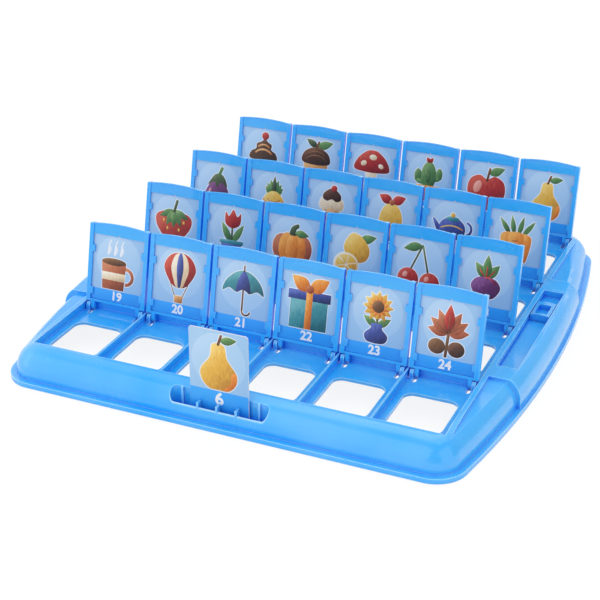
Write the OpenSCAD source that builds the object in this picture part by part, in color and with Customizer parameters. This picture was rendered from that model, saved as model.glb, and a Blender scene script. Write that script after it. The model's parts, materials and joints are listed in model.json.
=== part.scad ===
// Face guessing flip game: a moulded tray with four rows of six hinged picture flips,
// one loose card standing in the front pocket and a score slider in the right-hand rest.
// Millimetres. X runs along the rows, Y from the player to the far side, Z up from the table.

/* [Grid] */
// Distance between the centres of neighbouring columns
column_pitch = 36; // [35:0.5:40]
// From the front wall to the hinge line of the front row
front_cell_depth = 50.7; // [49:0.1:56]
// From the front row's hinge line to the second row's
second_cell_depth = 60.8; // [56:0.1:66]
// From the second row's hinge line to the third row's
third_cell_depth = 54.3; // [53:0.1:66]
// From the third row's hinge line to the back row's
back_cell_depth = 63.6; // [56:0.1:68]
// Height of the cell floors over the table
floor_height = 12.5; // [11:0.1:14]
// Height of the ribs between cells over the cell floors
rib_height = 4; // [3.8:0.1:5]
// Thickness of the ribs between columns
rib_thickness = 1; // [0.8:0.1:1.4]

/* [Floor openings] */
// Width of the large opening in each cell floor
opening_width = 26.9; // [22:0.1:28]
// Length of the large opening in each cell floor
opening_length = 31.2; // [24:0.1:31.2]
// From the hinge line forward to the opening
opening_setback = 15; // [13:0.1:15]
// Corner radius of the opening
opening_corner = 5; // [3:0.5:8]

/* [Skirt] */
// From the grid forward to the foot of the front skirt
rim_width = 15.9; // [15.5:0.1:20]
// From the grid sideways to the foot at the middle of a side
side_margin = 22.3; // [21.5:0.1:26]
// How far each side bows out between its front and back ends
side_bow = 14; // [10:0.5:16]
// Plan radius of the foot's corners
foot_corner = 16.5; // [16.2:0.1:20]
// How far the foot flange stands out of the skirt
foot_flange = 3.4; // [2.5:0.1:3.6]
// Thickness of the foot flange
foot_thickness = 2.6; // [2:0.1:3.2]
// Radius of the rounded shoulder
shoulder_radius = 12; // [10:0.5:12]
// Wall thickness of the moulding
wall = 1.6; // [1.2:0.1:2]

/* [Side rests] */
// Length of the raised rest on each side
rest_length = 114.8; // [104:0.2:120]
// Step down from the rest to the crescent decks beside it
rest_step = 1.7; // [1:0.1:2.2]
// How far the rest stands out over the skirt
rest_proud = 2; // [1.2:0.1:2.2]
// Width of the level border round the grid
border_width = 2; // [1.6:0.1:2.4]

/* [Flips] */
// Gap between neighbouring flips
flip_gap = 1.4; // [1:0.1:2]
// Height of a flip from its hinge axis to the top of its arch
flip_height = 45.8; // [42:0.1:46]
// Rise of the arched top edge
arch_rise = 1.3; // [0.6:0.1:2]
// Backward lean of a raised flip
flip_lean = 12; // [8:0.5:12]
// Thickness of a flip in front of its hinge axis
flip_front = 1.6; // [1.5:0.05:1.7]
// Thickness of a flip behind its hinge axis
flip_back = 1.2; // [1.1:0.05:1.3]
// Width of the stiles beside the picture
stile_width = 2.2; // [2.2:0.1:2.8]
// Height of the header over the picture
header_height = 6.6; // [6:0.1:8]
// How far the header is sunk between the stiles
header_sink = 0.4; // [0.2:0.1:0.5]
// Width of the tabs that hold a card
tab_width = 1.3; // [0.8:0.1:1.6]
// Height of the tabs
tab_height = 3.7; // [3:0.1:5]
// From the bottom rail up to the lower tabs
tab_rise = 2.8; // [1:0.1:4]
// From the header down to the upper tabs
tab_drop = 6.1; // [4:0.1:8]

/* [Hinges] */
// Diameter of the hinge pins
pin_diameter = 2; // [1.8:0.1:2]
// Running clearance all round a hinge pin
pin_clearance = 0.06; // [0.04:0.01:0.08]
// Thickness of the hinge posts
post_thickness = 1.9; // [1.6:0.1:2]

/* [Cards] */
// Width of all the cards
card_width = 30.4; // [29.6:0.1:30.6]
// Thickness of all the cards
card_thickness = 0.6; // [0.4:0.05:0.6]
// Height of the loose card in the front pocket
loose_card_height = 44.4; // [40:0.1:50]

/* [Front pocket] */
// Length of the pocket for the loose card
pocket_length = 51; // [49:0.5:60]
// Width of the pocket from front to back
pocket_width = 5.2; // [4.8:0.1:5.4]
// Height of the pocket's floor over the table
pocket_floor = 5.2; // [4.6:0.1:6]
// Spacing of the pocket's ribs
pocket_rib_pitch = 10; // [9.9:0.1:10.4]

/* [Score slider] */
// Width of the score channel
channel_width = 10.8; // [9.6:0.1:10.9]
// Length of the score channel
channel_length = 89; // [80:0.5:92]
// How far the channel's middle lies in front of the tray's
channel_offset = 1.5; // [0:0.1:3]
// Depth of the score channel
channel_depth = 3.9; // [3.4:0.1:4]
// Length of the slider
slider_length = 15.6; // [12:0.1:20]
// From the tray's middle back to the slider's front edge
slider_place = 13.4; // [-10:0.1:14]
// Height of the slider's crown over the rest
slider_proud = 0.3; // [0:0.1:1]
// Rise of the slider's crowned top from its sides
slider_crown = 0.5; // [0.3:0.1:1]
// Width of the slider's bars beside its window
slider_rail = 1.6; // [1.2:0.1:2.2]
// Length of the slider's bar behind its window
slider_back = 3.4; // [2:0.1:5]

/* [Hidden] */
columns = 6;
rows = 4;
flip_names = [for (r = [1:rows]) for (c = [1:columns]) str("flip_r", r, "c", c)];
card_names = [for (r = [1:rows]) for (c = [1:columns]) str("card_r", r, "c", c)];

// Sliver by which cuts pass a face
eps = 0.01;
// Gap between parts that rest on each other or pass each other
rest_gap = 0.3;
slide_gap = 0.2;
card_gap = 0.1;
cross_wall = 1.2;

// Hinge axis and the flip round it
pin_radius = pin_diameter / 2;
axis_height = flip_front + 0.4;
axis_z = floor_height + axis_height;
rib_top = floor_height + rib_height;
barrel_radius = flip_front;
post_radius = pin_radius + 1.4;
stile_foot = post_radius + 0.4;
flip_half = (column_pitch - flip_gap) / 2;
rib_face = (column_pitch - rib_thickness) / 2;
post_outer = rib_face - 1;
post_inner = post_outer - post_thickness;
lug_outer = post_inner - rest_gap;
lug_inner = lug_outer - 1.9;
pin_end = post_outer - 0.1;
// Slots in the floor beside the posts and under the lugs
slot_width = 2;
slot_length = 4.4;
slot_inset = 1.1;
hinge_setback = barrel_radius + rest_gap;
arch_radius = (flip_half * flip_half + arch_rise * arch_rise) / (2 * arch_rise);
header_foot = flip_height - header_height;
rail_height = 1.1;
rail_top = stile_foot + rail_height;
bead_width = 0.5;
notch_radius = 0.7;
// How far a tab reaches into its stile
tab_root = 0.4;
window_half = flip_half - stile_width;
groove_front = flip_front - 1;
groove_back = card_thickness + 2 * card_gap - groove_front;
card_half = card_width / 2;
card_foot = rail_top + card_gap;
card_head = header_foot + 4;
groove_half = card_half + card_gap;
ledge_half = groove_half - 1.5;

// Plan of the grid, with the hinge line of each row
grid_width = columns * column_pitch;
grid_half_x = grid_width / 2;
cell_depths = [front_cell_depth, second_cell_depth, third_cell_depth, back_cell_depth];
grid_depth = front_cell_depth + second_cell_depth + third_cell_depth + back_cell_depth + hinge_setback;
grid_half_y = grid_depth / 2;
function depth_before(r) = r == 0 ? cell_depths[0] : depth_before(r - 1) + cell_depths[r];
function hinge_y(r) = depth_before(r) - grid_half_y;
function column_x(c) = (c - (columns - 1) / 2) * column_pitch;
function cell_front(r) = r == 0 ? -grid_half_y : hinge_y(r - 1) + hinge_setback + cross_wall;

// Plan of the skirt: straight ends, bowed sides and round corners share their centres at every offset
half_x = grid_half_x + side_margin;
half_y = grid_half_y + rim_width;
side_radius = (half_y * half_y + side_bow * side_bow) / (2 * side_bow);
side_centre = half_x - side_radius;
corner_y = half_y - foot_corner;
corner_x = side_centre + sqrt(pow(side_radius - foot_corner, 2) - corner_y * corner_y);
corner_angle = asin(corner_y / (side_radius - foot_corner));
// How far the corners stand out of the sides and ends, so that the sweeps cross and don't just touch
corner_lap = 0.02;

// Section of the skirt: a wall, a round shoulder and the level top
top_z = rib_top + 0.4;
shoulder_inset = foot_flange + shoulder_radius;
// How far the level top is drawn down below the crest of the shoulder
crest_cut = 0.1;
shoulder_z = top_z + crest_cut - shoulder_radius;
deck_z = top_z - rest_step;
rest_inset = shoulder_inset - rest_proud;
rest_shoulder_z = shoulder_z + rest_step;
// How far a rest's bowed edge falls back from its middle to its ends
rest_sag = side_radius - sqrt(pow(side_radius, 2) - pow(rest_length / 2, 2));
border_x = grid_half_x + border_width;
cell_wall = 1.5;

// Front pocket
pocket_y = -half_y + rim_width / 2 - 1.2;
loose_card_y = pocket_y + 0.9;

// Score channel and the slider in it
channel_x = border_x + 0.3 + channel_width / 2;
channel_floor = top_z - channel_depth;
groove_depth = 0.8;
groove_height = 1.3;
// Side play of the slider's frame in the channel
slider_play = 0.5;
slider_half = channel_width / 2 - slider_play;
slider_height = channel_depth - slide_gap + slider_proud;
slider_base = 1;
crown_radius = (slider_half * slider_half + slider_crown * slider_crown) / (2 * slider_crown);

/* Plan outline of the tray, drawn in by a distance all round */
module outline(inset) {
    intersection() {
        translate([side_centre, 0]) circle(r = side_radius - inset, $fn = 240);
        translate([-side_centre, 0]) circle(r = side_radius - inset, $fn = 240);
        square([4 * half_x, 2 * (corner_y + (foot_corner - inset) * sin(corner_angle))], center = true);
    }
    square([2 * corner_x, 2 * (half_y - inset)], center = true);
    for (sx = [-1, 1], sy = [-1, 1])
        translate([sx * corner_x, sy * corner_y]) circle(r = foot_corner + corner_lap - inset, $fn = 48);
}

/* Section of a shoulder and the wall under it, outward along x from the shoulder's centre */
module shoulder_section(radius, centre_z, lap) {
    translate([0, centre_z]) circle(r = radius, $fn = 40);
    translate([-lap, -1]) square([lap + radius, centre_z + 1]);
}

/* Section of a shoulder without what lies inward of its lap */
module lapped_section(radius, centre_z, lap) {
    intersection() {
        shoulder_section(radius, centre_z, lap);
        translate([-lap, -1]) square([lap + radius, centre_z + radius + 1]);
    }
}

/* One side's shoulder, swept along the bow */
module side_sweep(radius, inset, centre_z, lap) {
    translate([side_centre, 0, 0]) rotate([0, 0, -corner_angle]) rotate_extrude(angle = 2 * corner_angle, $fn = 240)
        translate([side_radius - inset, 0]) lapped_section(radius, centre_z, lap);
}

/* The round-shouldered block that the skirt is the outside of, open-topped where the level top is cut */
module dome(radius) {
    translate([0, 0, -1]) linear_extrude(shoulder_z + shoulder_radius + 2) outline(shoulder_inset);
    for (side = [0, 1]) mirror([side, 0, 0]) side_sweep(radius, shoulder_inset, shoulder_z, 0.5);
    for (side = [0, 1]) mirror([0, side, 0]) {
        translate([-corner_x, -half_y + shoulder_inset, 0]) rotate([90, 0, 90]) linear_extrude(2 * corner_x)
            mirror([1, 0]) lapped_section(radius, shoulder_z, 0.5);
        for (sx = [0, 1]) mirror([sx, 0, 0]) translate([corner_x, -corner_y, 0]) rotate([0, 0, -100])
            rotate_extrude(angle = 110 - corner_angle, $fn = 48)
                translate([foot_corner + corner_lap - shoulder_inset, 0]) lapped_section(radius, shoulder_z, 0.5);
    }
}

/* The raised rests on both sides, proud of the skirt */
module rests(radius, length) {
    intersection() {
        for (side = [0, 1]) mirror([side, 0, 0]) side_sweep(radius, rest_inset, rest_shoulder_z, rest_sag + 1);
        cube([4 * half_x, length, 4 * top_z], center = true);
    }
    for (side = [0, 1]) mirror([side, 0, 0]) translate([border_x, -length / 2, -1])
        cube([half_x - rest_inset - rest_sag - border_x, length, 2 * top_z]);
}

/* Level deck between the border and the skirt, cut lower beside the rests */
module crescents() {
    for (sx = [0, 1], sy = [0, 1]) mirror([sx, 0, 0]) mirror([0, sy, 0])
        translate([border_x, rest_length / 2, deck_z]) cube([2 * side_margin, half_y, 2 * top_z]);
}

/* A box as wide as the table under the tray, from one height to another */
module layer(low, high) {
    translate([-2 * half_x, -2 * half_y, low]) cube([4 * half_x, 4 * half_y, high - low]);
}

/* Outside of the moulding, before its cells and hollows */
module outside() {
    intersection() {
        union() {
            difference() {
                dome(shoulder_radius);
                crescents();
            }
            rests(shoulder_radius, rest_length);
        }
        layer(0, top_z);
    }
    linear_extrude(foot_thickness) outline(0);
}

/* Everything above the cell floors, cell by cell */
module cells() {
    translate([-grid_half_x + rib_thickness / 2, -grid_half_y, rib_top])
        cube([grid_width - rib_thickness, grid_depth, top_z]);
    for (r = [0:rows - 1], c = [0:columns - 1]) {
        y0 = cell_front(r);
        translate([column_x(c) - rib_face, y0, floor_height])
            cube([2 * rib_face, hinge_y(r) + hinge_setback - y0, top_z]);
    }
}

/* Openings in the floor of one cell, from its hinge line forward */
module floor_openings() {
    translate([0, -opening_setback - opening_length / 2]) {
        square([opening_width, opening_length - 2 * opening_corner], center = true);
        square([opening_width - 2 * opening_corner, opening_length], center = true);
        for (sx = [-1, 1], sy = [-1, 1])
            translate([sx * (opening_width / 2 - opening_corner), sy * (opening_length / 2 - opening_corner)])
                circle(r = opening_corner, $fn = 24);
    }
    for (sx = [-1, 1]) {
        translate([sx * (post_outer + slot_width / 4), 0]) square([slot_width / 2, slot_length], center = true);
        translate([sx * (lug_inner + slot_inset), -slot_length / 2])
            square([slot_width, slot_length], center = true);
        translate([sx * (lug_inner + slot_inset), -slot_length]) circle(r = slot_width / 2, $fn = 16);
    }
}

/* A snap post with the seat for one hinge pin, standing on the floor at the hinge line */
module hinge_post() {
    translate([post_inner, 0, 0]) rotate([90, 0, 90]) linear_extrude(post_thickness) difference() {
        union() {
            translate([0, axis_z]) circle(r = post_radius, $fn = 20);
            translate([-post_radius, floor_height - 1]) square([2 * post_radius, axis_height + 1]);
        }
        translate([0, axis_z]) circle(r = pin_radius + pin_clearance, $fn = 20);
        translate([-pin_radius * 0.7, axis_z]) square([pin_radius * 1.4, 2 * post_radius]);
    }
}

/* The stadium of the front pocket, in plan */
module pocket_plan(grow) {
    width = pocket_width + 2 * grow;
    square([pocket_length - pocket_width, width], center = true);
    for (side = [-1, 1])
        translate([side * (pocket_length - pocket_width) / 2, 0]) circle(d = width, $fn = 24);
}

/* Ribs that hold the loose card upright: fins before and behind it, and a post at each end */
module pocket_ribs() {
    height = deck_z - 3.5 - pocket_floor;
    for (i = [-2:2]) translate([i * pocket_rib_pitch, 0, pocket_floor - eps]) {
        back = loose_card_y + card_thickness / 2 + slide_gap - pocket_y;
        front = loose_card_y - card_thickness / 2 - slide_gap - pocket_y;
        if (abs(i) < 2) {
            translate([-0.5, -pocket_width / 2 - 0.4, 0]) cube([1, front + pocket_width / 2 + 0.4, height]);
            translate([-0.5, back, 0]) cube([1, pocket_width / 2 + 0.4 - back, height + 2]);
        } else {
            translate([-0.5, pocket_width / 2 - 1.2, 0]) cube([1, 1.6, height + 4]);
        }
    }
}

/* Hollow under the moulding, leaving its walls, decks and trough */
module underside() {
    radius = shoulder_radius - wall;
    difference() {
        union() {
            intersection() {
                dome(radius);
                union() {
                    layer(-1, floor_height - wall);
                    for (side = [0, 1]) mirror([side, 0, 0]) translate([grid_half_x + cell_wall, -2 * half_y, -1])
                        cube([half_x, 4 * half_y, deck_z - wall + 1]);
                    for (side = [0, 1]) mirror([0, side, 0]) translate([2 - corner_x, grid_half_y + cell_wall, -1])
                        cube([2 * (corner_x - 2), half_y, top_z - wall + 1]);
                }
            }
            intersection() {
                rests(radius, rest_length - 2 * wall);
                for (side = [0, 1]) mirror([side, 0, 0]) translate([border_x, -2 * half_y, -1])
                    cube([half_x, 4 * half_y, top_z - wall + 1]);
            }
        }
        translate([channel_x, -channel_offset, channel_floor - wall + top_z / 2])
            cube([channel_width + 2 * (groove_depth + wall), channel_length + 2 * wall, top_z], center = true);
        translate([0, pocket_y, pocket_floor - wall]) linear_extrude(top_z) pocket_plan(wall);
    }
}

/* Channel for the score slider, with a groove along each side that holds the slider down */
module score_channel() {
    translate([channel_x, -channel_offset, channel_floor]) {
        translate([0, 0, top_z / 2]) cube([channel_width, channel_length, top_z], center = true);
        translate([0, 0, groove_height / 2])
            cube([channel_width + 2 * groove_depth, channel_length, groove_height], center = true);
    }
}

module tray() {
    color("deepskyblue") {
        difference() {
            outside();
            cells();
            underside();
            score_channel();
            translate([0, pocket_y, pocket_floor]) linear_extrude(top_z) pocket_plan(0);
            for (r = [0:rows - 1], c = [0:columns - 1])
                translate([column_x(c), hinge_y(r), floor_height - 2 * wall])
                    linear_extrude(3 * wall) floor_openings();
        }
        for (r = [0:rows - 1], c = [0:columns - 1], side = [0, 1])
            translate([column_x(c), hinge_y(r), 0]) mirror([side, 0, 0]) hinge_post();
        translate([0, pocket_y, 0]) pocket_ribs();
    }
}

/* Front view of a flip, drawn in by a distance at its sides and arch */
module flip_outline(inset) {
    intersection() {
        translate([-flip_half + inset, stile_foot]) square([2 * (flip_half - inset), flip_height]);
        translate([0, flip_height - arch_radius]) circle(r = arch_radius - inset, $fn = 160);
    }
}

/* A slab of a flip between two depths, front first */
module slab(front, back) {
    translate([0, back, 0]) rotate([90, 0, 0]) linear_extrude(back - front) children();
}

/* The four tabs that keep a card behind the stiles */
module card_tabs() {
    for (side = [0, 1], foot = [rail_top + tab_rise, header_foot - tab_drop - tab_height])
        mirror([side, 0]) translate([window_half - tab_width, foot]) square([tab_width + tab_root, tab_height]);
}

/* A flip standing upright on its hinge axis */
module flip_frame() {
    slab(-flip_front, -groove_front) {
        difference() {
            flip_outline(0);
            translate([-window_half, rail_top]) square([2 * window_half, header_foot - rail_top]);
            translate([0, header_foot]) circle(r = notch_radius, $fn = 16);
        }
        card_tabs();
    }
    slab(-groove_front - eps, flip_back) difference() {
        flip_outline(0);
        translate([-groove_half, rail_top]) square([2 * groove_half, flip_height]);
    }
    slab(groove_back, flip_back) difference() {
        flip_outline(0);
        translate([-ledge_half, rail_top]) square([2 * ledge_half, flip_height]);
        translate([-groove_half, header_foot]) square([2 * groove_half, header_height]);
    }
    for (side = [0, 1]) mirror([side, 0, 0]) {
        translate([lug_inner, 0, 0]) rotate([90, 0, 90]) linear_extrude(lug_outer - lug_inner) {
            circle(r = barrel_radius, $fn = 24);
            translate([-flip_front, 0]) square([flip_front + flip_back, rail_top]);
        }
        translate([lug_outer - eps, 0, 0]) rotate([0, 90, 0])
            cylinder(r = pin_radius, h = pin_end - lug_outer + eps, $fn = 20);
    }
}

/* The shallow panel sunk in a flip's header between the stiles, which leaves a bead along the arch */
module header_panel() {
    slab(-flip_front - 1, -flip_front + header_sink) intersection() {
        flip_outline(bead_width);
        translate([-window_half, header_foot - notch_radius - 1]) square([2 * window_half, 2 * header_height]);
    }
}

/* Places a part of one flip on its hinge line, leaning back */
module on_hinge(r, c) {
    translate([column_x(c), hinge_y(r), axis_z]) rotate([-flip_lean, 0, 0]) children();
}

module flip(r, c) {
    color("dodgerblue") on_hinge(r, c) difference() {
        flip_frame();
        header_panel();
    }
}

module card(r, c) {
    color("aliceblue") on_hinge(r, c)
        translate([-card_half, -groove_front + card_gap, card_foot])
            cube([card_width, card_thickness, card_head - card_foot]);
}

module loose_card() {
    radius = 1.4;
    color("aliceblue")
        translate([0, loose_card_y + card_thickness / 2, pocket_floor + card_gap])
            rotate([90, 0, 0]) linear_extrude(card_thickness) {
                translate([-card_half + radius, 0]) square([card_width - 2 * radius, loose_card_height]);
                translate([-card_half, radius]) square([card_width, loose_card_height - 2 * radius]);
                for (sx = [-1, 1], y = [radius, loose_card_height - radius])
                    translate([sx * (card_half - radius), y]) circle(r = radius, $fn = 20);
            }
}

/* End view of the slider's frame, with its crowned top */
module slider_section() {
    intersection() {
        translate([-slider_half, 0]) square([2 * slider_half, slider_height]);
        translate([0, slider_height - crown_radius]) circle(r = crown_radius, $fn = 240);
    }
}

module score_slider() {
    tongue_half = channel_width / 2 + groove_depth - slide_gap;
    color("dodgerblue")
        translate([channel_x, slider_place, channel_floor + slide_gap]) {
            difference() {
                translate([0, slider_length, 0]) rotate([90, 0, 0]) linear_extrude(slider_length) slider_section();
                translate([-slider_half + slider_rail, slider_rail, slider_base])
                    cube([2 * (slider_half - slider_rail), slider_length - slider_rail - slider_back, slider_height]);
            }
            translate([-tongue_half, 0, 0]) cube([2 * tongue_half, slider_length, groove_height - 2 * slide_gap]);
        }
}

tray();
for (r = [0:rows - 1], c = [0:columns - 1]) {
    flip(r, c);
    card(r, c);
}
loose_card();
score_slider();
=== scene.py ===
"""Face guessing flip game: a blue moulded tray, its hinged picture flips, a loose card and a score slider.

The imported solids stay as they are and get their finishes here. The printed faces of the cards, with
their plain numbers and still-life pictures, are made here, and so is the studio round the game.
"""

import json
import logging
from collections.abc import Iterable
from dataclasses import dataclass
from enum import Enum
from math import atan2, cos, hypot, pi, radians, sin

import bpy
from bpy.types import Material, Mesh, Node, NodeSocket, NodeTree, Object
from mathutils import Matrix, Vector
from mathutils.geometry import delaunay_2d_cdt


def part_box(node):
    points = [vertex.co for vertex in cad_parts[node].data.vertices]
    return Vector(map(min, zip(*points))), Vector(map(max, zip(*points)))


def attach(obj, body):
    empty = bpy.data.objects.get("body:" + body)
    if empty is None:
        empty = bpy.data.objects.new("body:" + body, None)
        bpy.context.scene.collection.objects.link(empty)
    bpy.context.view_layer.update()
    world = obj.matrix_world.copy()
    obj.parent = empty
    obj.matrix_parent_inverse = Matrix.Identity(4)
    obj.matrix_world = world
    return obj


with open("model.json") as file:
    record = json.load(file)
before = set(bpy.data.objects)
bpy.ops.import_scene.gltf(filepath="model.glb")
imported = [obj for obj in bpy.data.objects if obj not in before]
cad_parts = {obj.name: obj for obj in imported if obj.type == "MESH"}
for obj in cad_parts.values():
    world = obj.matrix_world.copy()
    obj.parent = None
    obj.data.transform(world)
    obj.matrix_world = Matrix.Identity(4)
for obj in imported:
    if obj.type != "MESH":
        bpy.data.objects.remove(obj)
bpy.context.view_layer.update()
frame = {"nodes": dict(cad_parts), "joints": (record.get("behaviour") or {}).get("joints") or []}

Point = tuple[float, float]
Colour = tuple[float, float, float]
Place = tuple[float, float, float]
MM = 0.001
LOG = logging.getLogger("flip_game")

# How finely the printed shapes are drawn: corners round an oval, and steps along the other curves.
OVAL_CORNERS = 28
LEAF_STEPS = 9
KNOT_STEPS = 6
END_STEPS = 6
BOW_STEPS = 14
CORNER_STEPS = 5


class Face(Enum):
    """Which kind of card a print goes on: square-cornered in a flip, or loose with round corners."""

    FLIP = "flip"
    LOOSE = "loose"


class Graph:
    """Adds nodes to one node tree and links them.

    Args:
        tree: the node tree that is written to.
    """

    def __init__(self, tree: NodeTree) -> None:
        """Keeps the tree."""
        self.tree = tree

    def add(self, kind: str, values: dict[int | str, object] | None = None, **settings: object) -> Node:
        """Adds one node.

        Args:
            kind: the node's type name without its ShaderNode prefix.
            values: what goes into each input: a number, a colour or another node's socket.
            settings: the node's own properties.

        Returns:
            The new node.
        """
        node = self.tree.nodes.new(kind if kind.startswith("NodeGroup") else f"ShaderNode{kind}")
        for name, value in settings.items():
            setattr(node, name, value)
        for key, value in (values or {}).items():
            self.feed(node, key, value)
        return node

    def feed(self, node: Node, key: int | str, value: object) -> None:
        """Gives one input of a node its value.

        Args:
            node: the node.
            key: the input's name or number.
            value: a number, a colour or another node's socket.
        """
        entry = node.inputs[key]
        if isinstance(value, NodeSocket):
            self.tree.links.new(value, entry)
        elif entry.type == "RGBA":
            entry.default_value = (*value, 1.0)
        else:
            entry.default_value = value

    def maths(self, operation: str, first: object, second: object = 0.0, clamp: bool = False) -> NodeSocket:
        """One sum of two values.

        Args:
            operation: the Math node's operation.
            first: a number or a socket.
            second: a number or a socket.
            clamp: True to hold the result between 0 and 1.

        Returns:
            The socket that carries the result.
        """
        return self.add("Math", {0: first, 1: second}, operation=operation, use_clamp=clamp).outputs[0]

    def blend(self, share: object, first: object, second: object) -> NodeSocket:
        """A mix of two colours.

        Args:
            share: how much of the second colour, as a number or a socket.
            first: a colour or a socket.
            second: a colour or a socket.

        Returns:
            The socket that carries the mixed colour.
        """
        return self.add("Mix", {0: share, 6: first, 7: second}, data_type="RGBA").outputs[2]

    def ramp(self, value: object, low: float, high: float, start: float = 0.0, end: float = 1.0) -> NodeSocket:
        """A value eased from one range to another.

        Args:
            value: the socket that is read.
            low: the value at which the result is start.
            high: the value at which the result is end.
            start: the result at low.
            end: the result at high.

        Returns:
            The socket that carries the eased value.
        """
        values = {0: value, 1: low, 2: high, 3: start, 4: end}
        return self.add("MapRange", values, interpolation_type="SMOOTHSTEP").outputs[0]


def shader_group(name: str, inputs: dict[str, tuple], outputs: dict[str, str]) -> tuple[Graph, Node, Node]:
    """Starts a shader node group.

    Args:
        name: the group's name.
        inputs: for each input its kind, Float or Color, and its usual value.
        outputs: for each output its kind.

    Returns:
        The graph to build in, the group's input node and its output node.
    """
    tree = bpy.data.node_groups.new(name, "ShaderNodeTree")
    for label, (kind, value) in inputs.items():
        socket = tree.interface.new_socket(label, in_out="INPUT", socket_type=f"NodeSocket{kind}")
        socket.default_value = (*value, 1.0) if kind == "Color" else value
    for label, kind in outputs.items():
        tree.interface.new_socket(label, in_out="OUTPUT", socket_type=f"NodeSocket{kind}")
    graph = Graph(tree)
    return graph, graph.add("NodeGroupInput"), graph.add("NodeGroupOutput")


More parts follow.
